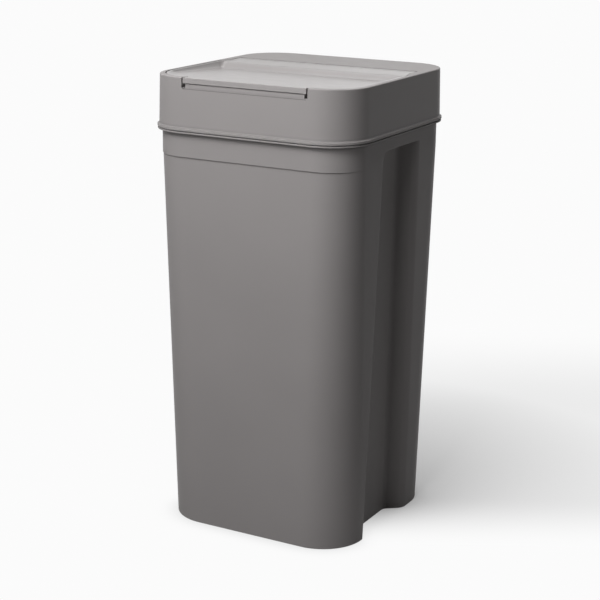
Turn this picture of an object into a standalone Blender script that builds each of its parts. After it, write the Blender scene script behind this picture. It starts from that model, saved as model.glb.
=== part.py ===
"""Airtight trash can: a tapered tub, a lift-off lid frame and a hinged flap that seals on a ledge.

Metres, +Z up, origin on the floor under the middle of the lid. The front faces -Y.
"""

import math

import bmesh
import bpy

# Overall
TOTAL_HEIGHT = 0.5335
LID_WIDTH = 0.260
LID_DEPTH = 0.2662
LID_CORNER = 0.047
LID_HEIGHT = 0.0594

# Clearances and fits
SEAT_GAP = 0.0003
PLAY = 0.0012
REAR_PLAY = 0.0004
LIP_PLAY = 0.0009
OVERRUN = 0.002

# Tub
WALL = 0.0025
FLOOR = 0.0035
TUB_INSET = 0.0024
SIDE_TAPER = 0.0052
END_TAPER = 0.0108
CORNER_GROWTH = 0.0079
BASE_RADIUS = 0.0010
BASE_LAND = 0.014
BASE_RECESS = 0.0012
RECESS_CORNER = 0.020
BAND_HEIGHT = 0.0308
BAND_STEP = 0.0012
BAND_STEP_RISE = 0.0006
BEAD_REACH = 0.0030
BEAD_HEIGHT = 0.0020
BEAD_EDGE = 0.0009
BEAD_DROP = 0.0005

# Grip channel down each side of the tub
CHANNEL_DROP = 0.0181
CHANNEL_DEPTH = 0.0195
CHANNEL_LAND_TOP = 0.0431
CHANNEL_LAND_BASE = 0.0035
CHANNEL_FRONT_RUN = 0.008
CHANNEL_FLOOR_END = 0.0293
CHANNEL_REAR = 0.0443
CHANNEL_LIP_RADIUS = 0.0033
CHANNEL_FRONT_FILLET = 0.006
CHANNEL_REAR_FILLET = 0.012
CHANNEL_REAR_RADIUS = 0.015
CHANNEL_TOP_CORNER = 0.010
CHANNEL_ROOF_RISE = 0.0008

# Lid frame
LID_DRAFT = 0.0012
LID_EDGE = 0.0012
FLANGE_REACH = 0.0034
FLANGE_HEIGHT = 0.0047
FLANGE_EDGE = 0.0006
FLANGE_LAND = 0.0030
RIM_WIDTH = 0.0045
FRONT_RIM_WIDTH = 0.0076
DECK_THICKNESS = 0.0025
DECK_FRONT_CORNER = 0.004
CROSS_WALL = 0.0025
LEDGE_DROP = 0.0185
LEDGE_THICKNESS = 0.0025
WEB_THICKNESS = 0.0025
PLUG_DEPTH = 0.0135
PLUG_CLEARANCE = 0.0006
PLUG_WALL = 0.0022
GROOVE_DEPTH = 0.0018
GROOVE_HEIGHT = 0.0050
GROOVE_DROP = 0.0042
GASKET_RIDGE = 0.0006

# Flap
FLAP_SINK = 0.0002
FLAP_CORNER = 0.0412
FLAP_SHOULDER_RUN = 0.041
FLAP_WAIST_RUN = 0.018
FLAP_WAIST_STEP = 0.0065
FLAP_TURN = 0.012
FLAP_REAR_CORNER = 0.0015
FLAP_EDGE = 0.0006
FLAP_SKIRT = 0.0125
FLAP_WALL = 0.0024
DISH_MARGIN = 0.0030
DISH_DEPTH = 0.0076
DISH_FOOT_RUN = 0.044
DISH_KNEE_RUN = 0.031
DISH_KNEE_DEPTH = 0.0012
DISH_FLUSH = 0.0021
DISH_WALL_RUN = 0.011

# Lip of the flap, and the notch, finger scoop and windows for it in the lid frame
LIP_HALF = 0.0786
LIP_HEIGHT = 0.0061
LIP_THICKNESS = 0.0026
LIP_EDGE = 0.0006
FUSE = 0.0004
SCOOP_HEIGHT = 0.0059
SCOOP_DEPTH = 0.0012
SCOOP_FOOT = 0.0008
WINDOW_WIDTH = 0.0034
WINDOW_HEIGHT = 0.0042

# Flap hinge, with its axis forward of the lid's back by the deck's depth
DECK_DEPTH = 0.0781
BARREL_RADIUS = 0.0040
BARREL_PROUD = 0.0001
BARREL_INSET = 0.0006
PIN_RADIUS = 0.0018
PIN_BITE = 0.0070
PIN_REACH = 0.013

# Liner and gasket under the flap
LINER_INSET = 0.0012
LINER_THICKNESS = 0.0016
LINER_CORNER = 0.037
LINER_BACK_INSET = 0.0040
LINER_BACK_CORNER = 0.010
SEAL_INSET = 0.0018
SEAL_WIDTH = 0.0060
SEAL_BASE = 0.0014
SEAL_CREST = 0.0014
OPENING_INSET = 0.011
OPENING_BACK_RUN = 0.019
OPENING_BACK_CORNER = 0.012

# Bag hoop, hinged under the ledge
HOOP_SIDE_GAP = 0.0056
HOOP_FRONT_GAP = 0.0125
HOOP_NECK = 0.0130
HOOP_CORNER = 0.024
HOOP_WIDTH = 0.0080
HOOP_THICKNESS = 0.0030
HOOP_RIM_WIDTH = 0.0022
HOOP_RIM_DEPTH = 0.0080
HOOP_AXIS_RUN = 0.0110
HOOP_AXIS_DROP = 0.0040
HOOP_BARREL_RADIUS = 0.0034
HOOP_BARREL_HALF = 0.0340
ROD_RADIUS = 0.0016
EAR_THICKNESS = 0.0040
EAR_DEPTH = 0.0090
EAR_FOOT = 0.0040
EAR_ROOT = 0.0010

# Counts
CORNER_STEPS = 8
FILLET_STEPS = 3
ROUND_STEPS = 3
RAMP_STEPS = 6
BARREL_SIDES = 24
PIN_SIDES = 20

# Heights and places worked out from the sizes above
LID_SEAT_Z = TOTAL_HEIGHT - LID_HEIGHT
TUB_HEIGHT = LID_SEAT_Z - SEAT_GAP
BAND_Z = TUB_HEIGHT - BAND_HEIGHT
CHANNEL_TOP_Z = TUB_HEIGHT - CHANNEL_DROP
TUB_SIDE = LID_WIDTH / 2 - TUB_INSET
TUB_END = LID_DEPTH / 2 - TUB_INSET
TUB_CORNER = LID_CORNER - TUB_INSET
CHANNEL_FRONT_TOP = TUB_END - TUB_CORNER - CHANNEL_LAND_TOP
CHANNEL_FRONT_BASE = TUB_END - END_TAPER - TUB_CORNER - CORNER_GROWTH - CHANNEL_LAND_BASE
LEDGE_Z = TOTAL_HEIGHT - LEDGE_DROP
LEDGE_UNDER_Z = LEDGE_Z - LEDGE_THICKNESS
SHELF_Z = TOTAL_HEIGHT - LIP_HEIGHT - LIP_PLAY
FLAP_TOP_Z = TOTAL_HEIGHT - FLAP_SINK
FLAP_SKIRT_Z = TOTAL_HEIGHT - FLAP_SKIRT
FLAP_SIDE = LID_WIDTH / 2 - RIM_WIDTH - PLAY
FLAP_FRONT = LID_DEPTH / 2 - FRONT_RIM_WIDTH - PLAY
FLAP_WAIST = FLAP_SIDE - FLAP_WAIST_STEP
DISH_LIP = LID_DEPTH / 2 - DISH_FLUSH
HINGE_Y = LID_DEPTH / 2 - DECK_DEPTH
FLAP_SHOULDER_Y = HINGE_Y - FLAP_SHOULDER_RUN
FLAP_WAIST_Y = HINGE_Y - FLAP_WAIST_RUN
DISH_FOOT = HINGE_Y - DISH_FOOT_RUN
DISH_KNEE = HINGE_Y - DISH_KNEE_RUN
HINGE_Z = FLAP_TOP_Z + BARREL_PROUD - BARREL_RADIUS
DECK_EDGE_Y = HINGE_Y + BARREL_RADIUS + REAR_PLAY
BARREL_HALF = FLAP_WAIST - BARREL_INSET
BOSS_FACE = FLAP_WAIST + PLAY
PIN_OUTER = BOSS_FACE + PIN_BITE
PIN_INNER = BARREL_HALF - PIN_REACH
LINER_TOP_Z = FLAP_SKIRT_Z - SEAT_GAP
LINER_Z = LINER_TOP_Z - LINER_THICKNESS
LINER_SIDE = FLAP_WAIST - LINER_INSET
LINER_FRONT = FLAP_FRONT - LINER_INSET
LINER_BACK = HINGE_Y - LINER_BACK_INSET
OPENING_FRONT = LINER_FRONT - OPENING_INSET
OPENING_BACK = HINGE_Y - OPENING_BACK_RUN
HOOP_SIDE = TUB_SIDE - CHANNEL_DEPTH - WALL - HOOP_SIDE_GAP
HOOP_FRONT = OPENING_FRONT - HOOP_FRONT_GAP
HOOP_AXIS_Y = HINGE_Y - HOOP_AXIS_RUN
HOOP_BACK = HOOP_AXIS_Y - HOOP_NECK
HOOP_TOP_Z = LEDGE_UNDER_Z - SEAT_GAP
HOOP_AXIS_Z = LEDGE_UNDER_Z - HOOP_AXIS_DROP

COLLECTION_NAME = "airtight_trash_can"
CUTTER_COLLECTION_NAME = "airtight_trash_can_cutters"

COLOURS = {
    "grey_plastic": ((0.190, 0.182, 0.178, 1.0), 0.55, 0.0),
    "grey_plastic_inner": ((0.150, 0.145, 0.142, 1.0), 0.60, 0.0),
    "dark_silicone": ((0.045, 0.045, 0.047, 1.0), 0.70, 0.0),
    "hinge_steel": ((0.560, 0.560, 0.570, 1.0), 0.35, 1.0),
}

# How far the dish has dropped, as shares of its wall's run inward and of its depth there
WALL_SHARES = ((0.0, 0.0), (0.06, 0.38), (0.17, 0.68), (0.38, 0.89), (0.68, 0.98), (1.0, 1.0))
ROOF_SHARES = ((0.0, 0.55), (0.30, 0.90), (0.70, 1.0), (1.0, 1.0))


def clear_scene():
    for item in list(bpy.data.objects):
        bpy.data.objects.remove(item, do_unlink=True)


def new_collection(name):
    collection = bpy.data.collections.new(name)
    bpy.context.scene.collection.children.link(collection)
    return collection


def new_material(name, finish):
    colour, roughness, metallic = COLOURS[finish]
    material = bpy.data.materials.new(name)
    material.use_nodes = True
    shader = material.node_tree.nodes["Principled BSDF"]
    shader.inputs["Base Color"].default_value = colour
    shader.inputs["Roughness"].default_value = roughness
    shader.inputs["Metallic"].default_value = metallic
    return material


def smooth(mesh):
    mesh.shade_smooth()
    mesh.set_sharp_from_angle(angle=math.radians(30))


def object_from(name, verts, faces):
    mesh = bpy.data.meshes.new(name)
    mesh.from_pydata(verts, [], faces)
    work = bmesh.new()
    work.from_mesh(mesh)
    bmesh.ops.recalc_face_normals(work, faces=work.faces)
    work.to_mesh(mesh)
    work.free()
    smooth(mesh)
    return bpy.data.objects.new(name, mesh)


def piece(item, finish, parts):
    item.data.materials.append(new_material(item.name + "_surface", finish))
    parts.objects.link(item)
    return item


def combine(target, other, operation, cutters):
    cutters.objects.link(other)
    other.hide_render = True
    other.display_type = "WIRE"
    step = target.modifiers.new(other.name, "BOOLEAN")
    step.operation = operation
    step.solver = "EXACT"
    step.object = other


def cut(target, other, cutters):
    combine(target, other, "DIFFERENCE", cutters)


def join(target, other, cutters):
    combine(target, other, "UNION", cutters)


def set_origin(item, origin):
    """Move the object's origin and leave its shape where it is."""
    for vertex in item.data.vertices:
        vertex.co = [value - shift for value, shift in zip(vertex.co, origin)]
    item.location = origin


def corner_arc(before, corner, after, steps):
    """Points of the arc that turns a corner, given as (x, y, radius)."""
    x, y, radius = corner
    to_before = math.atan2(before[1] - y, before[0] - x)
    to_after = math.atan2(after[1] - y, after[0] - x)
    turn = (to_after - to_before + math.pi) % (2 * math.pi) - math.pi
    middle = to_before + turn / 2
    reach = radius / math.sin(abs(turn) / 2)
    centre_x = x + reach * math.cos(middle)
    centre_y = y + reach * math.sin(middle)
    side = math.copysign(1, turn)
    first = to_before - side * math.pi / 2
    sweep = side * (abs(turn) - math.pi)
    points = []
    for step in range(steps + 1):
        angle = first + sweep * step / steps
        points.append((centre_x + radius * math.cos(angle), centre_y + radius * math.sin(angle)))
    return points


def rounded_path(corners, steps=CORNER_STEPS):
    points = []
    for index, corner in enumerate(corners):
        after = corners[(index + 1) % len(corners)]
        points.extend(corner_arc(corners[index - 1], corner, after, steps))
    return points


def rounded_rectangle(side, front, back, front_corner, back_corner):
    return rounded_path([
        (side, -front, front_corner),
        (side, back, back_corner),
        (-side, back, back_corner),
        (-side, -front, front_corner),
    ])


def moved_inward(points, distance):
    """A counter-clockwise outline moved to its left by a distance."""
    result = []
    count = len(points)
    for index, (x, y) in enumerate(points):
        before = points[index - 1]
        after = points[(index + 1) % count]
        first = math.atan2(y - before[1], x - before[0])
        second = math.atan2(after[1] - y, after[0] - x)
        half = ((second - first + math.pi) % (2 * math.pi) - math.pi) / 2
        normal = first + half + math.pi / 2
        reach = distance / math.cos(half)
        result.append((x + reach * math.cos(normal), y + reach * math.sin(normal)))
    return result


def at_height(outline, z):
    return [(x, y, z) for x, y in outline]


def loft(name, loops):
    """One closed body through loops of equal length, capped at its first and last loop."""
    size = len(loops[0])
    verts = [point for loop in loops for point in loop]
    faces = [list(range(size)), list(range(len(verts) - size, len(verts)))]
    for row in range(len(loops) - 1):
        for index in range(size):
            here = row * size + index
            beside = row * size + (index + 1) % size
            faces.append([here, beside, beside + size, here + size])
    return object_from(name, verts, faces)


def ring(name, loops):
    """One closed ring body through loops of equal length, the last joined to the first."""
    size = len(loops[0])
    verts = [point for loop in loops for point in loop]
    faces = []
    for row in range(len(loops)):
        over = (row + 1) % len(loops)
        for index in range(size):
            beside = (index + 1) % size
            faces.append([row * size + index, row * size + beside, over * size + beside, over * size + index])
    return object_from(name, verts, faces)


def prism(name, outline, low, high):
    return loft(name, [at_height(outline, low), at_height(outline, high)])


def box(name, low, high):
    outline = [(low[0], low[1]), (high[0], low[1]), (high[0], high[1]), (low[0], high[1])]
    return prism(name, outline, low[2], high[2])


def across(name, half, profile):
    """A profile of (y, z) points carried along X from -half to half."""
    return loft(name, [[(-half, y, z) for y, z in profile], [(half, y, z) for y, z in profile]])


def bar(name, start, end, y, z, radius, sides):
    """A round bar along X."""
    work = bmesh.new()
    bmesh.ops.create_cone(work, cap_ends=True, segments=sides, radius1=radius, radius2=radius, depth=end - start)
    mesh = bpy.data.meshes.new(name)
    work.to_mesh(mesh)
    work.free()
    for vertex in mesh.vertices:
        around, flat, along = vertex.co
        vertex.co = ((start + end) / 2 + along, y + flat, z - around)
    smooth(mesh)
    return bpy.data.objects.new(name, mesh)


def both_sides(name, make, *sizes):
    """One body on each side of the middle plane, as one object."""
    item = make(name, *sizes)
    work = bmesh.new()
    work.from_mesh(item.data)
    copied = bmesh.ops.duplicate(work, geom=work.verts[:] + work.edges[:] + work.faces[:])["geom"]
    verts = [element for element in copied if isinstance(element, bmesh.types.BMVert)]
    bmesh.ops.scale(work, vec=(-1, 1, 1), verts=verts)
    faces = [element for element in copied if isinstance(element, bmesh.types.BMFace)]
    bmesh.ops.reverse_faces(work, faces=faces)
    work.to_mesh(item.data)
    work.free()
    return item


def round_share(step):
    """(run, rise) of a quarter round, as shares of its radius, from its foot up."""
    angle = math.pi / 2 * step / ROUND_STEPS
    return 1 - math.cos(angle), math.sin(angle)


def lid_outline(inset):
    half_depth = LID_DEPTH / 2 - inset
    corner = LID_CORNER - inset
    return rounded_rectangle(LID_WIDTH / 2 - inset, half_depth, half_depth, corner, corner)


def mouth_outline(inset):
    """The inside of the tub's mouth, moved inward by an inset."""
    reach = WALL + inset
    end = TUB_END - reach
    return rounded_rectangle(TUB_SIDE - reach, end, end, TUB_CORNER - reach, TUB_CORNER - reach)


def flap_outline(inset):
    right = [
        (FLAP_SIDE, -FLAP_FRONT, FLAP_CORNER),
        (FLAP_SIDE, FLAP_SHOULDER_Y, FLAP_TURN),
        (FLAP_WAIST, FLAP_WAIST_Y, FLAP_TURN),
        (FLAP_WAIST, HINGE_Y, FLAP_REAR_CORNER),
    ]
    left = [(-x, y, radius) for x, y, radius in reversed(right)]
    return moved_inward(rounded_path(right + left), inset)


def liner_outline(inset):
    return rounded_rectangle(
        LINER_SIDE - inset,
        LINER_FRONT - inset,
        LINER_BACK - inset,
        LINER_CORNER - inset,
        LINER_BACK_CORNER - inset,
    )


def tub_outline(side, front, back, corner, edge, share):
    """The tub's section, with its grip channels sunk by a share of their depth."""
    floor = side - CHANNEL_DEPTH
    right = [
        (side, -front, corner),
        (side, -edge, CHANNEL_LIP_RADIUS),
        (floor, CHANNEL_FRONT_RUN - edge, CHANNEL_FRONT_FILLET),
        (floor, CHANNEL_FLOOR_END, CHANNEL_REAR_FILLET),
        (side, CHANNEL_REAR, CHANNEL_REAR_RADIUS),
        (side, back, corner),
    ]
    whole = right + [(-x, y, radius) for x, y, radius in reversed(right)]
    points = []
    for index, turned in enumerate(whole):
        in_channel = -front < turned[1] < back
        steps = FILLET_STEPS if in_channel else CORNER_STEPS
        arc = corner_arc(whole[index - 1], turned, whole[(index + 1) % len(whole)], steps)
        if in_channel:
            wall = math.copysign(side, turned[0])
            arc = [(wall + (x - wall) * share, y) for x, y in arc]
        points.extend(arc)
    return points


def tub_section(z, share=1.0, pull=0.0, band=False):
    drop = max(0.0, 1 - z / BAND_Z)
    side = TUB_SIDE - SIDE_TAPER * drop
    end = TUB_END - END_TAPER * drop
    front = end if band else end - BAND_STEP * (1 - drop)
    up = min(1.0, z / CHANNEL_TOP_Z)
    edge = CHANNEL_FRONT_BASE + (CHANNEL_FRONT_TOP - CHANNEL_FRONT_BASE) * up - pull
    return tub_outline(side, front, end, TUB_CORNER + CORNER_GROWTH * drop, edge, share)


def bead_section(reach):
    end = LID_DEPTH / 2 + reach
    edge = CHANNEL_FRONT_TOP - CHANNEL_TOP_CORNER
    return tub_outline(LID_WIDTH / 2 + reach, end, end, LID_CORNER + reach, edge, 0.0)


def flange_section(reach):
    return lid_outline(-reach)


def rounded_bead(foot, top, section, reach, edge):
    """Loops round a bead that stands out by a reach, with both its edges rounded."""
    loops = []
    for step in range(ROUND_STEPS + 1):
        rise, run = round_share(step)
        loops.append(at_height(section(reach - edge * (1 - run)), foot + edge * rise))
    for step in range(ROUND_STEPS + 1):
        run, rise = round_share(step)
        loops.append(at_height(section(reach - edge * run), top - edge * (1 - rise)))
    return loops


def channel_roof():
    """(z, share, pull) up the rounded top corner of the channel, to the wall above it."""
    rows = []
    for step in range(ROUND_STEPS + 1):
        run, rise = round_share(step)
        rows.append((CHANNEL_TOP_Z - CHANNEL_TOP_CORNER * (1 - rise), 1.0, CHANNEL_TOP_CORNER * run))
    rows.append((CHANNEL_TOP_Z + CHANNEL_ROOF_RISE, 0.0, CHANNEL_TOP_CORNER))
    return rows


def make_tub(parts, cutters):
    loops = []
    for step in range(ROUND_STEPS + 1):
        rise, run = round_share(step)
        z = BASE_RADIUS * rise
        loops.append(at_height(moved_inward(tub_section(z), BASE_RADIUS * (1 - run)), z))
    loops.append(at_height(tub_section(BAND_Z), BAND_Z))
    band_z = BAND_Z + BAND_STEP_RISE
    loops.append(at_height(tub_section(band_z, band=True), band_z))
    roof = [row for row in channel_roof() if row[0] > band_z]
    for z, share, pull in roof:
        loops.append(at_height(tub_section(z, share, pull, band=True), z))
    bead_top = TUB_HEIGHT - BEAD_DROP
    bead_foot = bead_top - BEAD_HEIGHT
    top = tub_section(TUB_HEIGHT, 0.0, CHANNEL_TOP_CORNER, band=True)
    loops.append(at_height(top, bead_foot))
    loops += rounded_bead(bead_foot, bead_top, bead_section, BEAD_REACH, BEAD_EDGE)
    loops.append(at_height(top, bead_top))
    loops.append(at_height(top, TUB_HEIGHT))
    loops.append(at_height(moved_inward(top, WALL), TUB_HEIGHT))
    for z, share, pull in reversed(roof):
        loops.append(at_height(moved_inward(tub_section(z, share, pull, band=True), WALL), z + WALL))
    loops.append(at_height(moved_inward(tub_section(BAND_Z), WALL), BAND_Z))
    loops.append(at_height(moved_inward(tub_section(FLOOR), WALL), FLOOR))
    tub = piece(loft("tub", loops), "grey_plastic", parts)

    recess_side = TUB_SIDE - SIDE_TAPER - CHANNEL_DEPTH - BASE_LAND
    recess_end = TUB_END - END_TAPER - BASE_LAND
    recess = rounded_rectangle(recess_side, recess_end, recess_end, RECESS_CORNER, RECESS_CORNER)
    cut(tub, prism("base_recess", recess, -OVERRUN, BASE_RECESS), cutters)


def frame_block():
    """The lid frame's outside: plug and gasket groove, flange with a hollow top, wall, rounded edge."""
    plug_z = LID_SEAT_Z - PLUG_DEPTH
    groove_top = LID_SEAT_Z - GROOVE_DROP
    groove_foot = groove_top - GROOVE_HEIGHT
    flange_top = LID_SEAT_Z + FLANGE_HEIGHT
    crest_z = LID_SEAT_Z + FLANGE_LAND
    wide = mouth_outline(PLUG_CLEARANCE)
    narrow = mouth_outline(PLUG_CLEARANCE + GROOVE_DEPTH)
    loops = [
        at_height(wide, plug_z),
        at_height(wide, groove_foot),
        at_height(narrow, groove_foot),
        at_height(narrow, groove_top),
        at_height(wide, groove_top),
        at_height(wide, LID_SEAT_Z),
    ]
    loops += rounded_bead(LID_SEAT_Z, crest_z, flange_section, FLANGE_REACH, FLANGE_EDGE)
    crest_reach = FLANGE_REACH - FLANGE_EDGE
    for step in range(1, ROUND_STEPS + 1):
        rise, run = round_share(step)
        reach = crest_reach - (crest_reach - LID_DRAFT) * run
        loops.append(at_height(flange_section(reach), crest_z + (flange_top - crest_z) * rise))
    for step in range(ROUND_STEPS + 1):
        run, rise = round_share(step)
        loops.append(at_height(lid_outline(LID_EDGE * run), TOTAL_HEIGHT - LID_EDGE * (1 - rise)))
    return loft("lid_frame", loops)


def make_frame(parts, cutters):
    frame = piece(frame_block(), "grey_plastic", parts)

    plug_inside = mouth_outline(PLUG_CLEARANCE + GROOVE_DEPTH + PLUG_WALL)
    web_z = LID_SEAT_Z + WEB_THICKNESS
    cavity = loft("frame_cavity", [
        at_height(plug_inside, LID_SEAT_Z - PLUG_DEPTH - OVERRUN),
        at_height(plug_inside, web_z),
        at_height(lid_outline(WALL), web_z + WALL),
        at_height(lid_outline(WALL), LEDGE_UNDER_Z),
    ])
    cut(frame, cavity, cutters)

    under_deck = rounded_rectangle(
        LID_WIDTH / 2 - WALL,
        -DECK_EDGE_Y - CROSS_WALL,
        LID_DEPTH / 2 - WALL,
        DECK_FRONT_CORNER,
        LID_CORNER - WALL,
    )
    deck_under_z = TOTAL_HEIGHT - DECK_THICKNESS
    cut(frame, prism("deck_hollow", under_deck, LEDGE_UNDER_Z - OVERRUN, deck_under_z), cutters)

    well = [(x, DECK_EDGE_Y if y > HINGE_Y else y) for x, y in flap_outline(-PLAY)]
    cut(frame, prism("flap_well", well, LEDGE_Z, TOTAL_HEIGHT + OVERRUN), cutters)

    face = LID_DEPTH / 2
    notch_half = LIP_HALF + PLAY
    notch = box(
        "lip_notch",
        (-notch_half, -face - OVERRUN, SHELF_Z),
        (notch_half, -FLAP_FRONT, TOTAL_HEIGHT + OVERRUN),
    )
    cut(frame, notch, cutters)
    slope = (SCOOP_DEPTH - SCOOP_FOOT) / SCOOP_HEIGHT
    scoop = across("finger_scoop", LIP_HALF, [
        (-face - OVERRUN, SHELF_Z - SCOOP_HEIGHT),
        (-face + SCOOP_FOOT, SHELF_Z - SCOOP_HEIGHT),
        (-face + SCOOP_DEPTH + slope * OVERRUN, SHELF_Z + OVERRUN),
        (-face - OVERRUN, SHELF_Z + OVERRUN),
    ])
    cut(frame, scoop, cutters)
    windows = both_sides(
        "scoop_windows",
        box,
        (LIP_HALF - WINDOW_WIDTH, -face - OVERRUN, SHELF_Z - WINDOW_HEIGHT),
        (LIP_HALF + PLAY / 2, -FLAP_FRONT, SHELF_Z + OVERRUN),
    )
    cut(frame, windows, cutters)

    opening = rounded_rectangle(
        LINER_SIDE - OPENING_INSET,
        OPENING_FRONT,
        OPENING_BACK,
        LINER_CORNER - OPENING_INSET,
        OPENING_BACK_CORNER,
    )
    cut(frame, prism("mouth_opening", opening, LEDGE_UNDER_Z - OVERRUN, LEDGE_Z + OVERRUN), cutters)

    bore_end = PIN_OUTER + SEAT_GAP
    bore_radius = PIN_RADIUS + SEAT_GAP
    bores = both_sides(
        "pin_bores", bar, BOSS_FACE - OVERRUN, bore_end, HINGE_Y, HINGE_Z, bore_radius, PIN_SIDES
    )
    cut(frame, bores, cutters)

    ear_start = HOOP_BARREL_HALF + SEAT_GAP
    ears = both_sides(
        "hoop_ears",
        box,
        (ear_start, HOOP_AXIS_Y - EAR_DEPTH / 2, HOOP_AXIS_Z - EAR_FOOT),
        (ear_start + EAR_THICKNESS, HOOP_AXIS_Y + EAR_DEPTH / 2, LEDGE_UNDER_Z + EAR_ROOT),
    )
    join(frame, ears, cutters)
    reach = ear_start + EAR_THICKNESS + OVERRUN
    rod_bore = bar("rod_bore", -reach, reach, HOOP_AXIS_Y, HOOP_AXIS_Z, ROD_RADIUS + SEAT_GAP, PIN_SIDES)
    cut(frame, rod_bore, cutters)


def make_frame_gasket(parts):
    """Ribbed silicone ring in the groove of the plug, against the inside of the tub's mouth."""
    back = PLUG_CLEARANCE + GROOVE_DEPTH - SEAT_GAP
    top = LID_SEAT_Z - GROOVE_DROP - SEAT_GAP
    foot = LID_SEAT_Z - GROOVE_DROP - GROOVE_HEIGHT + SEAT_GAP
    quarter = (top - foot) / 4
    valley = SEAT_GAP + GASKET_RIDGE
    profile = [
        (back, foot),
        (valley, foot),
        (SEAT_GAP, foot + quarter),
        (valley, foot + 2 * quarter),
        (SEAT_GAP, top - quarter),
        (valley, top),
        (back, top),
    ]
    loops = [at_height(mouth_outline(inset), z) for inset, z in profile]
    piece(ring("frame_gasket", loops), "dark_silicone", parts)


def dish_depth(y):
    """Depth of the flap's dish below its rim at a place from front to back."""
    if y < DISH_FOOT:
        return DISH_DEPTH * (y + DISH_LIP) / (DISH_FOOT + DISH_LIP)
    if y < DISH_KNEE:
        blend = (1 - math.cos(math.pi * (y - DISH_FOOT) / (DISH_KNEE - DISH_FOOT))) / 2
        return DISH_DEPTH + (DISH_KNEE_DEPTH - DISH_DEPTH) * blend
    return DISH_KNEE_DEPTH * (HINGE_Y - y) / (HINGE_Y - DISH_KNEE)


def half_width_at(outline, y):
    """Half width of a closed outline at a place from front to back."""
    widest = 0.0
    for index, (x, here) in enumerate(outline):
        next_x, beyond = outline[(index + 1) % len(outline)]
        if here != beyond and min(here, beyond) <= y <= max(here, beyond):
            widest = max(widest, x + (next_x - x) * (y - here) / (beyond - here))
    return widest


def dish_body(name, inset, back, shares, drop, far_z):
    """A closed body with the dish's surface, lowered by a drop, on one face and far_z flat on the other."""
    outline = flap_outline(inset)
    front_rows = sorted({y for x, y in outline if x > 0 and y < FLAP_CORNER - FLAP_FRONT})
    turn_rows = sorted({y for x, y in outline if x > 0 and DISH_KNEE < y < back})
    ramp_rows = [DISH_FOOT + (DISH_KNEE - DISH_FOOT) * step / RAMP_STEPS for step in range(RAMP_STEPS + 1)]
    near = []
    for y in front_rows + ramp_rows + turn_rows + [back]:
        half = half_width_at(outline, y)
        line = []
        for run, share in shares:
            line.append((half - DISH_WALL_RUN * run, FLAP_TOP_Z - drop - dish_depth(y) * share))
        near.append([(-x, y, z) for x, z in line] + [(x, y, z) for x, z in reversed(line)])
    width = len(near[0])
    verts = [point for row in near for point in row]
    half_count = len(verts)
    verts += [(x, y, far_z) for x, y, z in verts]
    faces = []
    for row in range(len(near) - 1):
        for index in range(width - 1):
            here = row * width + index
            quad = [here, here + 1, here + width + 1, here + width]
            faces.append(quad)
            faces.append([half_count + corner for corner in quad])
    last = (len(near) - 1) * width
    edge = list(range(width))
    edge += [row * width + width - 1 for row in range(1, len(near))]
    edge += [last + index for index in range(width - 2, -1, -1)]
    edge += [row * width for row in range(len(near) - 2, 0, -1)]
    for index, here in enumerate(edge):
        beside = edge[(index + 1) % len(edge)]
        faces.append([here, beside, half_count + beside, half_count + here])
    return object_from(name, verts, faces)


def make_flap(parts, cutters):
    loops = [at_height(flap_outline(0), FLAP_SKIRT_Z)]
    for step in range(ROUND_STEPS + 1):
        run, rise = round_share(step)
        loops.append(at_height(flap_outline(FLAP_EDGE * run), FLAP_TOP_Z - FLAP_EDGE * (1 - rise)))
    flap = piece(loft("flap", loops), "grey_plastic", parts)

    face = LID_DEPTH / 2
    root = FLAP_FRONT - FLAP_WALL + FUSE
    lip = across("flap_lip", LIP_HALF, [
        (-face, TOTAL_HEIGHT - LIP_HEIGHT),
        (-face + LIP_THICKNESS, TOTAL_HEIGHT - LIP_HEIGHT),
        (-face + LIP_THICKNESS, TOTAL_HEIGHT - LIP_THICKNESS),
        (-root, TOTAL_HEIGHT - LIP_THICKNESS - FLAP_SINK),
        (-root, TOTAL_HEIGHT),
        (-face + LIP_EDGE, TOTAL_HEIGHT),
        (-face, TOTAL_HEIGHT - LIP_EDGE),
    ])
    join(flap, lip, cutters)

    bullnose = bar("flap_bullnose", -BARREL_HALF, BARREL_HALF, HINGE_Y, HINGE_Z, BARREL_RADIUS, BARREL_SIDES)
    join(flap, bullnose, cutters)

    dish = dish_body("flap_dish", DISH_MARGIN, HINGE_Y - BARREL_RADIUS, WALL_SHARES, 0.0, TOTAL_HEIGHT + OVERRUN)
    cut(flap, dish, cutters)
    inner = FLAP_FRONT - DISH_MARGIN
    lip_fall = across("lip_fall", LIP_HALF + PLAY / 2, [
        (-DISH_LIP, TOTAL_HEIGHT),
        (FUSE - inner, FLAP_TOP_Z - dish_depth(-inner)),
        (FUSE - inner, TOTAL_HEIGHT + OVERRUN),
        (-DISH_LIP, TOTAL_HEIGHT + OVERRUN),
    ])
    cut(flap, lip_fall, cutters)
    back = HINGE_Y - BARREL_RADIUS - FLAP_WALL
    far_z = FLAP_SKIRT_Z - OVERRUN
    cut(flap, dish_body("flap_hollow", FLAP_WALL, back, ROOF_SHARES, FLAP_WALL, far_z), cutters)

    bores = both_sides(
        "flap_bores",
        bar,
        PIN_INNER - PIN_BITE - PLAY,
        FLAP_WAIST + OVERRUN,
        HINGE_Y,
        HINGE_Z,
        PIN_RADIUS + SEAT_GAP,
        PIN_SIDES,
    )
    cut(flap, bores, cutters)
    return flap


def make_hinge_pins(parts):
    for side, name in ((1, "hinge_pin_right"), (-1, "hinge_pin_left")):
        start, end = sorted((side * PIN_INNER, side * PIN_OUTER))
        piece(bar(name, start, end, HINGE_Y, HINGE_Z, PIN_RADIUS, PIN_SIDES), "hinge_steel", parts)


def make_liner(parts):
    """Flat panel that closes the hollow underside of the flap."""
    return piece(prism("flap_liner", liner_outline(0), LINER_Z, LINER_TOP_Z), "grey_plastic_inner", parts)


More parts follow.
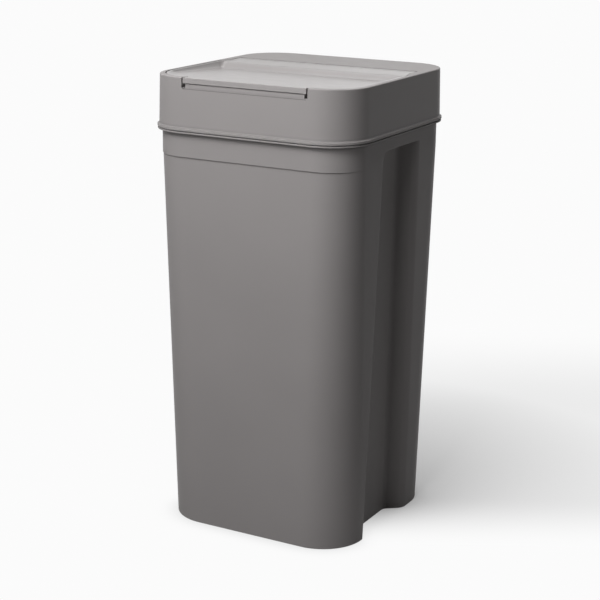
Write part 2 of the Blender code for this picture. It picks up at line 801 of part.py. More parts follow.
def make_flap_gasket(parts):
    """Silicone ring under the liner, with a crest that meets the ledge."""
    top = LINER_Z - SEAT_GAP
    middle = SEAL_INSET + SEAL_WIDTH / 2
    crest = SEAL_CREST / 2
    profile = [
        (SEAL_INSET, top),
        (SEAL_INSET, top - SEAL_BASE),
        (middle - crest, LEDGE_Z + SEAT_GAP),
        (middle + crest, LEDGE_Z + SEAT_GAP),
        (SEAL_INSET + SEAL_WIDTH, top - SEAL_BASE),
        (SEAL_INSET + SEAL_WIDTH, top),
    ]
    loops = [at_height(liner_outline(inset), z) for inset, z in profile]
    return piece(ring("flap_gasket", loops), "dark_silicone", parts)


def hoop_outline(inset):
    corner = HOOP_CORNER - inset
    return rounded_rectangle(HOOP_SIDE - inset, HOOP_FRONT - inset, HOOP_BACK - inset, corner, corner)


def make_hoop(parts, cutters):
    """Angle-section ring that carries the edge of a bag, with a barrel at its back."""
    foot = HOOP_TOP_Z - HOOP_THICKNESS
    profile = [
        (0, HOOP_TOP_Z),
        (HOOP_WIDTH, HOOP_TOP_Z),
        (HOOP_WIDTH, HOOP_TOP_Z - HOOP_RIM_DEPTH),
        (HOOP_WIDTH - HOOP_RIM_WIDTH, HOOP_TOP_Z - HOOP_RIM_DEPTH),
        (HOOP_WIDTH - HOOP_RIM_WIDTH, foot),
        (0, foot),
    ]
    loops = [at_height(hoop_outline(inset), z) for inset, z in profile]
    hoop = piece(ring("bag_hoop", loops), "grey_plastic_inner", parts)

    neck = box(
        "hoop_neck",
        (-HOOP_BARREL_HALF + EAR_THICKNESS, HOOP_BACK - HOOP_WIDTH / 2, foot + FUSE),
        (HOOP_BARREL_HALF - EAR_THICKNESS, HOOP_AXIS_Y, HOOP_TOP_Z - FUSE),
    )
    join(hoop, neck, cutters)
    barrel = bar(
        "hoop_barrel",
        -HOOP_BARREL_HALF,
        HOOP_BARREL_HALF,
        HOOP_AXIS_Y,
        HOOP_AXIS_Z,
        HOOP_BARREL_RADIUS,
        BARREL_SIDES,
    )
    join(hoop, barrel, cutters)
    reach = HOOP_BARREL_HALF + OVERRUN
    bore = bar("hoop_bore", -reach, reach, HOOP_AXIS_Y, HOOP_AXIS_Z, ROD_RADIUS + SEAT_GAP, PIN_SIDES)
    cut(hoop, bore, cutters)
    for item in [hoop] + [step.object for step in hoop.modifiers]:
        set_origin(item, (0, HOOP_AXIS_Y, HOOP_AXIS_Z))


def make_hoop_rod(parts):
    reach = HOOP_BARREL_HALF + SEAT_GAP + EAR_THICKNESS
    rod = bar("hoop_rod", -reach, reach, HOOP_AXIS_Y, HOOP_AXIS_Z, ROD_RADIUS, PIN_SIDES)
    piece(rod, "hinge_steel", parts)


def main():
    clear_scene()
    parts = new_collection(COLLECTION_NAME)
    cutters = new_collection(CUTTER_COLLECTION_NAME)
    make_tub(parts, cutters)
    make_frame(parts, cutters)
    make_frame_gasket(parts)
    flap = make_flap(parts, cutters)
    moving = [flap, make_liner(parts), make_flap_gasket(parts)]
    moving += [step.object for step in flap.modifiers]
    for item in moving:
        set_origin(item, (0, HINGE_Y, HINGE_Z))
    make_hinge_pins(parts)
    make_hoop(parts, cutters)
    make_hoop_rod(parts)


main()
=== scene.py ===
"""Looks of the airtight trash can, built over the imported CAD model."""

import math

import bmesh
import bpy
from mathutils import Matrix, Vector


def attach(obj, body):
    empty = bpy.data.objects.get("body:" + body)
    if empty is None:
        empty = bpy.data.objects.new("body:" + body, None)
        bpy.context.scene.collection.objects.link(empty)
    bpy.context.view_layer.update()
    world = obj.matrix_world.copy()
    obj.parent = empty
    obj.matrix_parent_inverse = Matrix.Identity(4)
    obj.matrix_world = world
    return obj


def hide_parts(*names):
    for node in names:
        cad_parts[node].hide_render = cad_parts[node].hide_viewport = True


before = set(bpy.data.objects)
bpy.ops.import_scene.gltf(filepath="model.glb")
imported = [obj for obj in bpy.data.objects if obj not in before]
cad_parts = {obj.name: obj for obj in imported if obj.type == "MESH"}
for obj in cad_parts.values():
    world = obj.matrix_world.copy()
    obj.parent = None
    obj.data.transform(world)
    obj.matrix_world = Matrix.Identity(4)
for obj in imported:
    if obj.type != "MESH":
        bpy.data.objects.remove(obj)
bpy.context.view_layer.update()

# Sizes of the part, in metres
TOTAL_HEIGHT = 0.5335
LID_WIDTH = 0.260
LID_DEPTH = 0.2662
LID_CORNER = 0.047
LID_HEIGHT = 0.0594
SEAT_GAP = 0.0003
PLAY = 0.0012
REAR_PLAY = 0.0004
LIP_PLAY = 0.0009
OVERRUN = 0.002
FUSE = 0.0004
WALL = 0.0025
FLOOR = 0.0035

# Tub
TUB_INSET = 0.0024
SIDE_TAPER = 0.0052
END_TAPER = 0.0108
CORNER_GROWTH = 0.0079
BASE_RADIUS = 0.0010
BASE_LAND = 0.014
BASE_RECESS = 0.0012
RECESS_CORNER = 0.020
BAND_HEIGHT = 0.0308
BAND_STEP = 0.0012
BAND_STEP_RISE = 0.0009
BEAD_REACH = 0.0030
BEAD_HEIGHT = 0.0018
BEAD_EDGE = 0.0005
BEAD_DROP = 0.0007

# Grip channel down each side of the tub
CHANNEL_DROP = 0.0181
CHANNEL_DEPTH = 0.0195
CHANNEL_FRONT_TOP = 0.0430
CHANNEL_FRONT_BASE = 0.0638
CHANNEL_FRONT_RUN = 0.008
CHANNEL_FLOOR_END = 0.0293
CHANNEL_REAR = 0.0443
CHANNEL_LIP_RADIUS = 0.0033
CHANNEL_FRONT_FILLET = 0.006
CHANNEL_REAR_FILLET = 0.010
CHANNEL_REAR_RADIUS = 0.015
CHANNEL_TOP_CORNER = 0.010
CHANNEL_ROOF_FILLET = 0.0025
CHANNEL_ROOF_EDGE = 0.0010

# Lid with its collar, deck, ledge and plug
LID_DRAFT = 0.0012
LID_EDGE = 0.0012
FLANGE_REACH = 0.0034
FLANGE_HEIGHT = 0.0047
FLANGE_EDGE = 0.0006
FLANGE_LAND = 0.0030
RIM_WIDTH = 0.0045
FRONT_RIM_WIDTH = 0.0076
DECK_THICKNESS = 0.0025
DECK_FRONT_CORNER = 0.004
CROSS_WALL = 0.0025
LEDGE_DROP = 0.0185
LEDGE_THICKNESS = 0.0025
WEB_THICKNESS = 0.0025
PLUG_DEPTH = 0.0135
PLUG_CLEARANCE = 0.0006
PLUG_WALL = 0.0022
GROOVE_DEPTH = 0.0018
GROOVE_HEIGHT = 0.0050
GROOVE_DROP = 0.0042
GASKET_RIDGE = 0.0006
GASKET_RIDGES = 2

# Flap and its dish
FLAP_SINK = 0.0002
FLAP_CORNER = 0.0412
FLAP_SHOULDER_Y = 0.014
FLAP_WAIST_Y = 0.037
FLAP_WAIST_STEP = 0.0065
FLAP_TURN = 0.012
FLAP_REAR_CORNER = 0.0015
FLAP_EDGE = 0.0006
FLAP_SKIRT = 0.0125
FLAP_WALL = 0.0024
DISH_MARGIN = 0.0030
DISH_DEPTH = 0.0076
DISH_FOOT = 0.011
DISH_KNEE = 0.024
DISH_KNEE_DEPTH = 0.0012
DISH_FLUSH = 0.0021
DISH_WALL_RUN = 0.011
DISH_WALL_SPACING = 1.8
DISH_WALL_STEEPNESS = 6
HOLLOW_WALL = ((0.0, 0.55), (0.30, 0.90), (0.70, 1.0), (1.0, 1.0))

# Flap's lip, and the scoop under it
LIP_HALF = 0.0778
LIP_SLIT = 0.0018
LIP_HEIGHT = 0.0061
LIP_THICKNESS = 0.0026
LIP_EDGE = 0.0007
SCOOP_HEIGHT = 0.0059
SCOOP_DEPTH = 0.0012
SCOOP_FOOT = 0.0008
WINDOW_WIDTH = 0.0026
WINDOW_HEIGHT = 0.0042

# Hinge of the flap
HINGE_Y = 0.055
BARREL_RADIUS = 0.0040
BARREL_PROUD = 0.0001
BARREL_INSET = 0.0006
PIN_RADIUS = 0.0018
PIN_BITE = 0.0070
PIN_REACH = 0.013
PIN_CHAMFER = 0.0005

# Liner under the flap, its seal, and the mouth below them
LINER_INSET = 0.0012
LINER_THICKNESS = 0.0016
LINER_CORNER = 0.037
LINER_BACK_INSET = 0.0040
LINER_BACK_CORNER = 0.010
LINER_EDGE = 0.0004
SEAL_INSET = 0.0018
SEAL_WIDTH = 0.0060
SEAL_BASE = 0.0014
SEAL_CREST = 0.0014
SEAL_FLATNESS = 0.6
OPENING_INSET = 0.011
OPENING_BACK = 0.036
OPENING_BACK_CORNER = 0.012

# Bag hoop with its rod and ears
HOOP_SIDE = 0.1000
HOOP_FRONT = 0.0996
HOOP_BACK = 0.0310
HOOP_CORNER = 0.024
HOOP_WIDTH = 0.0080
HOOP_THICKNESS = 0.0030
HOOP_RIM_WIDTH = 0.0022
HOOP_RIM_DEPTH = 0.0080
HOOP_EDGE = 0.0005
HOOP_AXIS_Y = 0.0440
HOOP_AXIS_DROP = 0.0040
HOOP_BARREL_RADIUS = 0.0034
HOOP_BARREL_HALF = 0.0340
ROD_RADIUS = 0.0016
EAR_THICKNESS = 0.0040
EAR_DEPTH = 0.0090
EAR_FOOT = 0.0040
EAR_ROOT = 0.0010

# Steps of the curved shapes
CORNER_STEPS = 20
FILLET_STEPS = 8
ROUND_STEPS = 6
RAMP_STEPS = 18
WALL_STEPS = 12
TUB_ROWS = 12
BARREL_SIDES = 48
PIN_SIDES = 32

# Shading: the angles in degrees from which an edge is sharp, and how much large faces count
SHARP_ANGLE = 32.0
PANEL_SHARP_ANGLE = 50.0
FLAT_WEIGHT = 80

# Heights and faces that follow from the sizes
LID_SEAT_Z = TOTAL_HEIGHT - LID_HEIGHT
TUB_HEIGHT = LID_SEAT_Z - SEAT_GAP
BAND_Z = TUB_HEIGHT - BAND_HEIGHT
CHANNEL_TOP_Z = TUB_HEIGHT - CHANNEL_DROP
TUB_SIDE = LID_WIDTH / 2 - TUB_INSET
TUB_END = LID_DEPTH / 2 - TUB_INSET
TUB_CORNER = LID_CORNER - TUB_INSET
LEDGE_Z = TOTAL_HEIGHT - LEDGE_DROP
LEDGE_UNDER_Z = LEDGE_Z - LEDGE_THICKNESS
SHELF_Z = TOTAL_HEIGHT - LIP_HEIGHT - LIP_PLAY
FLAP_TOP_Z = TOTAL_HEIGHT - FLAP_SINK
FLAP_SKIRT_Z = TOTAL_HEIGHT - FLAP_SKIRT
FLAP_SIDE = LID_WIDTH / 2 - RIM_WIDTH - PLAY
FLAP_FRONT = LID_DEPTH / 2 - FRONT_RIM_WIDTH - PLAY
FLAP_WAIST = FLAP_SIDE - FLAP_WAIST_STEP
DISH_LIP = LID_DEPTH / 2 - DISH_FLUSH
HINGE_Z = FLAP_TOP_Z + BARREL_PROUD - BARREL_RADIUS
DECK_EDGE_Y = HINGE_Y + BARREL_RADIUS + REAR_PLAY
BARREL_HALF = FLAP_WAIST - BARREL_INSET
BOSS_FACE = FLAP_WAIST + PLAY
PIN_OUTER = BOSS_FACE + PIN_BITE
PIN_INNER = BARREL_HALF - PIN_REACH
LINER_TOP_Z = FLAP_SKIRT_Z - SEAT_GAP
LINER_Z = LINER_TOP_Z - LINER_THICKNESS
LINER_SIDE = FLAP_WAIST - LINER_INSET
LINER_FRONT = FLAP_FRONT - LINER_INSET
LINER_BACK = HINGE_Y - LINER_BACK_INSET
HOOP_TOP_Z = LEDGE_UNDER_Z - SEAT_GAP
HOOP_AXIS_Z = LEDGE_UNDER_Z - HOOP_AXIS_DROP


# Materials: colours, and the scales and strengths of what varies them

GREY = (0.292, 0.276, 0.274)
INNER_GREY = (0.235, 0.225, 0.222)
GASKET_BLACK = (0.045, 0.045, 0.047)
STEEL_DARK = (0.50, 0.50, 0.51)
STEEL_PALE = (0.62, 0.62, 0.63)
NOISE_SPAN = (0.3, 0.7)
GRAIN_DEPTH = 0.0002
# Reach of the shade painted into hollows, slits and creases
PAINTED_SHADE_REACH = 0.004
FLOW_SCALE = 9.0
FLOW_DARK = 0.975
FLOW_PALE = 1.02
GLOSS_SCALE = 60.0
GLOSS_SPREAD = 0.02
PLASTIC_GRAIN_SCALE = 1500.0
PLASTIC_GRAIN = 0.10
BLOOM_SCALE = 40.0
BLOOM_DETAIL = 4.0
BLOOM_PALE = 1.25
SILICONE_GRAIN_SCALE = 900.0
SILICONE_GRAIN = 0.12
SILICONE_ROUGHNESS = (0.55, 0.68)
STREAK_SCALE = (40.0, 2400.0, 2400.0)
STEEL_ROUGHNESS = (0.26, 0.40)


def nodes_of(name):
    material = bpy.data.materials.new(name)
    material.use_nodes = True
    tree = material.node_tree
    return material, tree, tree.nodes["Principled BSDF"]


def add(tree, kind, **inputs):
    node = tree.nodes.new(kind)
    for key, value in inputs.items():
        node.inputs[key.replace("_", " ")].default_value = value
    return node


def noise(tree, place, scale, detail=2.0):
    node = add(tree, "ShaderNodeTexNoise", Scale=scale, Detail=detail)
    tree.links.new(place.outputs["Object"], node.inputs["Vector"])
    return node.outputs["Fac"]


def mapped(tree, value, span, result=(0.0, 1.0), interpolation="LINEAR"):
    """A value's place in a span, carried over to the result's span."""
    node = tree.nodes.new("ShaderNodeMapRange")
    node.interpolation_type = interpolation
    for socket, number in zip(("From Min", "From Max", "To Min", "To Max"), span + result):
        node.inputs[socket].default_value = number
    tree.links.new(value, node.inputs["Value"])
    return node.outputs["Result"]


def blended(tree, factor, first, second):
    node = tree.nodes.new("ShaderNodeMix")
    node.data_type = "RGBA"
    node.inputs["A"].default_value = (*first, 1.0)
    node.inputs["B"].default_value = (*second, 1.0)
    tree.links.new(factor, node.inputs["Factor"])
    return node.outputs["Result"]


def grained(tree, shader, place, scale, strength):
    """Give the shader's normal a fine grain."""
    bump = add(tree, "ShaderNodeBump", Strength=strength, Distance=GRAIN_DEPTH)
    tree.links.new(noise(tree, place, scale), bump.inputs["Height"])
    tree.links.new(bump.outputs["Normal"], shader.inputs["Normal"])


def plastic(name, colour, roughness, specular=0.5):
    """Satin moulded plastic: fine grain, faint flow shading, uneven gloss, and shade painted darker
    into its hollows and creases.
    """
    material, tree, shader = nodes_of(name)
    place = tree.nodes.new("ShaderNodeTexCoord")
    flow = mapped(tree, noise(tree, place, FLOW_SCALE), NOISE_SPAN)
    dark = tuple(value * FLOW_DARK for value in colour)
    pale = tuple(value * FLOW_PALE for value in colour)
    # Painted shade: ambient occlusion darkens the base colour in hollows, slits and creases
    painted_hollow_shade = add(tree, "ShaderNodeAmbientOcclusion", Distance=PAINTED_SHADE_REACH)
    painted_hollow_shade.only_local = True
    tree.links.new(blended(tree, flow, dark, pale), painted_hollow_shade.inputs["Color"])
    tree.links.new(painted_hollow_shade.outputs["Color"], shader.inputs["Base Color"])
    gloss = noise(tree, place, GLOSS_SCALE)
    uneven = (roughness - GLOSS_SPREAD, roughness + GLOSS_SPREAD)
    tree.links.new(mapped(tree, gloss, NOISE_SPAN, uneven), shader.inputs["Roughness"])
    grained(tree, shader, place, PLASTIC_GRAIN_SCALE, PLASTIC_GRAIN)
    shader.inputs["Specular IOR Level"].default_value = specular
    return material


def silicone(name, colour):
    """Soft silicone: a faint bloom that lightens and dulls it in patches, and a fine grain."""
    material, tree, shader = nodes_of(name)
    place = tree.nodes.new("ShaderNodeTexCoord")
    bloom = noise(tree, place, BLOOM_SCALE, BLOOM_DETAIL)
    pale = tuple(value * BLOOM_PALE for value in colour)
    patches = mapped(tree, bloom, NOISE_SPAN)
    tree.links.new(blended(tree, patches, colour, pale), shader.inputs["Base Color"])
    tree.links.new(mapped(tree, bloom, NOISE_SPAN, SILICONE_ROUGHNESS), shader.inputs["Roughness"])
    grained(tree, shader, place, SILICONE_GRAIN_SCALE, SILICONE_GRAIN)
    return material


def steel(name):
    """Drawn steel: fine streaks along the pin."""
    material, tree, shader = nodes_of(name)
    place = tree.nodes.new("ShaderNodeTexCoord")
    stretch = add(tree, "ShaderNodeMapping", Scale=STREAK_SCALE)
    tree.links.new(place.outputs["Object"], stretch.inputs["Vector"])
    streak = add(tree, "ShaderNodeTexNoise", Scale=1.0, Detail=2.0)
    tree.links.new(stretch.outputs["Vector"], streak.inputs["Vector"])
    level = mapped(tree, streak.outputs["Fac"], NOISE_SPAN)
    tree.links.new(blended(tree, level, STEEL_DARK, STEEL_PALE), shader.inputs["Base Color"])
    uneven = mapped(tree, streak.outputs["Fac"], NOISE_SPAN, STEEL_ROUGHNESS)
    tree.links.new(uneven, shader.inputs["Roughness"])
    shader.inputs["Metallic"].default_value = 1.0
    return material


BODY_PLASTIC = plastic("body_plastic", GREY, roughness=0.46, specular=0.05)
LID_PLASTIC = plastic("lid_plastic", GREY, roughness=0.44, specular=0.08)
FLAP_PLASTIC = plastic("flap_plastic", GREY, roughness=0.32, specular=0.50)
INNER_PLASTIC = plastic("inner_plastic", INNER_GREY, roughness=0.55)
SILICONE = silicone("gasket_silicone", GASKET_BLACK)
STEEL = steel("pin_steel")


# Shapes

def object_from(name, verts, faces):
    mesh = bpy.data.meshes.new(name)
    mesh.from_pydata(verts, [], faces)
    work = bmesh.new()
    work.from_mesh(mesh)
    bmesh.ops.recalc_face_normals(work, faces=work.faces)
    work.to_mesh(mesh)
    work.free()
    item = bpy.data.objects.new(name, mesh)
    bpy.context.scene.collection.objects.link(item)
    return item


def combine(target, other, operation):
    step = target.modifiers.new(other.name, "BOOLEAN")
    step.operation = operation
    step.solver = "EXACT"
    step.object = other


def cut(target, other):
    combine(target, other, "DIFFERENCE")


def join(target, other):
    combine(target, other, "UNION")


def settle(item, material, sharp=SHARP_ANGLE):
    """Apply the item's cuts and joins, drop their bodies, and give it its shading and material."""
    others = [step.object for step in item.modifiers]
    if others:
        graph = bpy.context.evaluated_depsgraph_get()
        mesh = bpy.data.meshes.new_from_object(item.evaluated_get(graph))
        item.modifiers.clear()
        item.data = mesh
        for other in others:
            bpy.data.objects.remove(other)
    item.data.materials.append(material)
    item.data.shade_smooth()
    item.data.set_sharp_from_angle(angle=math.radians(sharp))
    flat = item.modifiers.new("flat_faces_stay_flat", "WEIGHTED_NORMAL")
    flat.keep_sharp = True
    flat.weight = FLAT_WEIGHT
    return item


def dress(item, node, body):
    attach(item, body)
    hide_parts(node)


def corner_arc(before, corner, after, steps):
    """Points of the arc that turns a corner, given as (x, y, radius)."""
    x, y, radius = corner
    to_before = math.atan2(before[1] - y, before[0] - x)
    to_after = math.atan2(after[1] - y, after[0] - x)
    turn = (to_after - to_before + math.pi) % (2 * math.pi) - math.pi
    middle = to_before + turn / 2
    reach = radius / math.sin(abs(turn) / 2)
    centre_x = x + reach * math.cos(middle)
    centre_y = y + reach * math.sin(middle)
    side = math.copysign(1, turn)
    first = to_before - side * math.pi / 2
    sweep = side * (abs(turn) - math.pi)
    points = []
    for step in range(steps + 1):
        angle = first + sweep * step / steps
        points.append((centre_x + radius * math.cos(angle), centre_y + radius * math.sin(angle)))
    return points


def rounded_path(corners):
    """A closed path with every corner, given as (x, y, radius), turned by an arc."""
    points = []
    for index, corner in enumerate(corners):
        after = corners[(index + 1) % len(corners)]
        points.extend(corner_arc(corners[index - 1], corner, after, CORNER_STEPS))
    return points


def rounded_rectangle(side, front, back, front_corner, back_corner):
    return rounded_path([
        (side, -front, front_corner),
        (side, back, back_corner),
        (-side, back, back_corner),
        (-side, -front, front_corner),
    ])


def moved_inward(points, distance):
    """The closed outline with all its sides moved inwards by the same distance."""
    result = []
    count = len(points)
    for index, (x, y) in enumerate(points):
        before = points[index - 1]
        after = points[(index + 1) % count]
        first = math.atan2(y - before[1], x - before[0])
        second = math.atan2(after[1] - y, after[0] - x)
        half = ((second - first + math.pi) % (2 * math.pi) - math.pi) / 2
        normal = first + half + math.pi / 2
        reach = distance / math.cos(half)
        result.append((x + reach * math.cos(normal), y + reach * math.sin(normal)))
    return result


def at_height(outline, z):
    return [(x, y, z) for x, y in outline]


def loft(name, loops):
    """A solid through loops of points, closed by its first and last loop."""
    size = len(loops[0])
    verts = [point for loop in loops for point in loop]
    faces = [list(range(size)), list(range(len(verts) - size, len(verts)))]
    for row in range(len(loops) - 1):
        for index in range(size):
            here = row * size + index
            beside = row * size + (index + 1) % size
            faces.append([here, beside, beside + size, here + size])
    return object_from(name, verts, faces)


def ring(name, loops):
    """A closed band through loops of points, with the last joined to the first."""
    size = len(loops[0])
    verts = [point for loop in loops for point in loop]
    faces = []
    for row in range(len(loops)):
        near = row * size
        far = (row + 1) % len(loops) * size
        for index in range(size):
            beside = (index + 1) % size
            faces.append([near + index, near + beside, far + beside, far + index])
    return object_from(name, verts, faces)


def prism(name, outline, low, high):
    return loft(name, [at_height(outline, low), at_height(outline, high)])


def box(name, low, high):
    outline = [(low[0], low[1]), (high[0], low[1]), (high[0], high[1]), (low[0], high[1])]
    return prism(name, outline, low[2], high[2])


def across(name, half, profile):
    """A profile of (y, z) points drawn out to both sides along X."""
    return loft(name, [[(-half, y, z) for y, z in profile], [(half, y, z) for y, z in profile]])


def bar(name, start, end, y, z, radius, sides, chamfer=0.0):
    """A round bar along X, with chamfered ends if asked."""
    stations = [(start, radius), (end, radius)]
    if chamfer:
        stations = [
            (start, radius - chamfer),
            (start + chamfer, radius),
            (end - chamfer, radius),
            (end, radius - chamfer),
        ]
    loops = []
    for x, size in stations:
        circle = []
        for side in range(sides):
            angle = 2 * math.pi * side / sides
            circle.append((x, y + size * math.cos(angle), z + size * math.sin(angle)))
        loops.append(circle)
    return loft(name, loops)


def both_sides(name, make, *sizes):
    """A shape and its mirror image in one body."""
    item = make(name, *sizes)
    work = bmesh.new()
    work.from_mesh(item.data)
    copied = bmesh.ops.duplicate(work, geom=work.verts[:] + work.edges[:] + work.faces[:])["geom"]
    verts = [element for element in copied if isinstance(element, bmesh.types.BMVert)]
    bmesh.ops.scale(work, vec=(-1, 1, 1), verts=verts)
    faces = [element for element in copied if isinstance(element, bmesh.types.BMFace)]
    bmesh.ops.reverse_faces(work, faces=faces)
    work.to_mesh(item.data)
    work.free()
    return item


def round_share(step, steps=ROUND_STEPS):
    """How far a quarter circle has come in and risen by a step, as shares of its radius."""
    angle = math.pi / 2 * step / steps
    return 1 - math.cos(angle), math.sin(angle)


def lid_outline(inset):
    """The lid's outline, drawn in by an inset."""
    half_depth = LID_DEPTH / 2 - inset
    corner = LID_CORNER - inset
    return rounded_rectangle(LID_WIDTH / 2 - inset, half_depth, half_depth, corner, corner)


def mouth_outline(inset):
    """The outline of the tub's mouth inside its wall, drawn in by an inset."""
    reach = WALL + inset
    end = TUB_END - reach
    return rounded_rectangle(TUB_SIDE - reach, end, end, TUB_CORNER - reach, TUB_CORNER - reach)


def flap_outline(inset):
    right = [
        (FLAP_SIDE, -FLAP_FRONT, FLAP_CORNER),
        (FLAP_SIDE, FLAP_SHOULDER_Y, FLAP_TURN),
        (FLAP_WAIST, FLAP_WAIST_Y, FLAP_TURN),
        (FLAP_WAIST, HINGE_Y, FLAP_REAR_CORNER),
    ]
    left = [(-x, y, radius) for x, y, radius in reversed(right)]
    return moved_inward(rounded_path(right + left), inset)


def liner_outline(inset):
    return rounded_rectangle(
        LINER_SIDE - inset,
        LINER_FRONT - inset,
        LINER_BACK - inset,
        LINER_CORNER - inset,
        LINER_BACK_CORNER - inset,
    )


def tub_outline(side, front, back, corner, edge, share):
    """The tub's outline with its two channels, cut to a share of their full depth."""
    floor = side - CHANNEL_DEPTH
    right = [
        (side, -front, corner),
        (side, -edge, CHANNEL_LIP_RADIUS),
        (floor, CHANNEL_FRONT_RUN - edge, CHANNEL_FRONT_FILLET),
        (floor, CHANNEL_FLOOR_END, CHANNEL_REAR_FILLET),
        (side, CHANNEL_REAR, CHANNEL_REAR_RADIUS),
        (side, back, corner),
    ]
    whole = right + [(-x, y, radius) for x, y, radius in reversed(right)]
    points = []
    for index, turned in enumerate(whole):
        in_channel = -front < turned[1] < back
        steps = FILLET_STEPS if in_channel else CORNER_STEPS
        arc = corner_arc(whole[index - 1], turned, whole[(index + 1) % len(whole)], steps)
        if in_channel:
            wall = math.copysign(side, turned[0])
            arc = [(wall + (x - wall) * share, y) for x, y in arc]
        points.extend(arc)
    return points


def tub_section(z, share=1.0, pull=0.0, band=1.0):
    """The tub's section: share of the channel's depth, pull of its front edge forwards,
    and band, which is how much of the front's set-back is undone, from 0 to 1."""
    drop = max(0.0, 1 - z / BAND_Z)
    side = TUB_SIDE - SIDE_TAPER * drop
    end = TUB_END - END_TAPER * drop
    front = end - BAND_STEP * (1 - drop) * (1 - band)
    up = min(1.0, z / CHANNEL_TOP_Z)
    edge = CHANNEL_FRONT_BASE + (CHANNEL_FRONT_TOP - CHANNEL_FRONT_BASE) * up - pull
    return tub_outline(side, front, end, TUB_CORNER + CORNER_GROWTH * drop, edge, share)


def bead_section(reach):
    """The outline of the bead under the tub's rim, which stands out by a reach."""
    end = LID_DEPTH / 2 + reach
    edge = CHANNEL_FRONT_TOP - CHANNEL_TOP_CORNER
    return tub_outline(LID_WIDTH / 2 + reach, end, end, LID_CORNER + reach, edge, 0.0)


def channel_roof():
    """Rows of (z, share, pull) up the channel's top corner, its roof's fillet and outer edge."""
    rows = []
    steps = 2 * ROUND_STEPS
    for step in range(steps + 1):
        run, rise = round_share(step, steps)
        z = CHANNEL_TOP_Z - CHANNEL_TOP_CORNER * (1 - rise)
        below = (CHANNEL_TOP_Z - z) / CHANNEL_ROOF_FILLET
        share = 1.0
        if below < 1:
            cosine = math.sqrt(1 - (1 - below) ** 2)
            share = 1 - CHANNEL_ROOF_FILLET * (1 - cosine) / CHANNEL_DEPTH
        rows.append((z, share, CHANNEL_TOP_CORNER * run))
    for step in range(ROUND_STEPS + 1):
        rise, run = round_share(step)
        share = CHANNEL_ROOF_EDGE * (1 - run) / CHANNEL_DEPTH
        rows.append((CHANNEL_TOP_Z + FUSE + CHANNEL_ROOF_EDGE * rise, share, CHANNEL_TOP_CORNER))
    return rows


def rounded_bead(foot, top, section, reach, edge):
    """Loops round a bead that stands out by a reach, between two heights."""
    loops = []
    for step in range(ROUND_STEPS + 1):
        rise, run = round_share(step)
        loops.append(at_height(section(reach - edge * (1 - run)), foot + edge * rise))
    for step in range(ROUND_STEPS + 1):
        run, rise = round_share(step)
        loops.append(at_height(section(reach - edge * run), top - edge * (1 - rise)))
    return loops


def tub_outside(roof, top):
    """Loops up the tub's outside and over its rim."""
    loops = []
    for step in range(ROUND_STEPS + 1):
        rise, run = round_share(step)
        z = BASE_RADIUS * rise
        loops.append(at_height(moved_inward(tub_section(z, band=0.0), BASE_RADIUS * (1 - run)), z))
    for row in range(1, TUB_ROWS + 1):
        z = BASE_RADIUS + (BAND_Z - BASE_RADIUS) * row / TUB_ROWS
        loops.append(at_height(tub_section(z, band=0.0), z))
    for row in range(1, ROUND_STEPS + 1):
        rise = row / ROUND_STEPS
        z = BAND_Z + BAND_STEP_RISE * rise
        loops.append(at_height(tub_section(z, band=rise), z))
    for z, share, pull in roof:
        loops.append(at_height(tub_section(z, share, pull), z))
    bead_top = TUB_HEIGHT - BEAD_DROP
    bead_foot = bead_top - BEAD_HEIGHT
    loops.append(at_height(top, bead_foot - FUSE))
    loops += rounded_bead(bead_foot, bead_top, bead_section, BEAD_REACH, BEAD_EDGE)
    loops.append(at_height(top, bead_top + FUSE))
    loops.append(at_height(top, TUB_HEIGHT))
    loops.append(at_height(moved_inward(top, WALL - FUSE), TUB_HEIGHT))
    return loops


def tub_inside(roof, top):
    """Loops down the tub's inside to its floor."""
    loops = [at_height(moved_inward(top, WALL), TUB_HEIGHT - FUSE)]
    for z, share, pull in reversed(roof):
        loops.append(at_height(moved_inward(tub_section(z, share, pull), WALL), z + WALL))
    loops.append(at_height(moved_inward(tub_section(BAND_Z, band=0.0), WALL), BAND_Z))
    inside_radius = BASE_RADIUS + FLOOR
    for step in range(ROUND_STEPS + 1):
        run, rise = round_share(step)
        z = inside_radius - BASE_RADIUS * rise
        loops.append(at_height(moved_inward(tub_section(z, band=0.0), WALL + BASE_RADIUS * run), z))
    return loops


def make_tub():
    roof = [row for row in channel_roof() if row[0] > BAND_Z + BAND_STEP_RISE]
    top = tub_section(TUB_HEIGHT, 0.0, CHANNEL_TOP_CORNER)
    tub = loft("tub_body", tub_outside(roof, top) + tub_inside(roof, top))
    recess_side = TUB_SIDE - SIDE_TAPER - CHANNEL_DEPTH - BASE_LAND
    recess_end = TUB_END - END_TAPER - BASE_LAND
    recess = rounded_rectangle(recess_side, recess_end, recess_end, RECESS_CORNER, RECESS_CORNER)
    cut(tub, prism("base_recess", recess, -OVERRUN, BASE_RECESS))
    dress(settle(tub, BODY_PLASTIC), "tub", "tub")


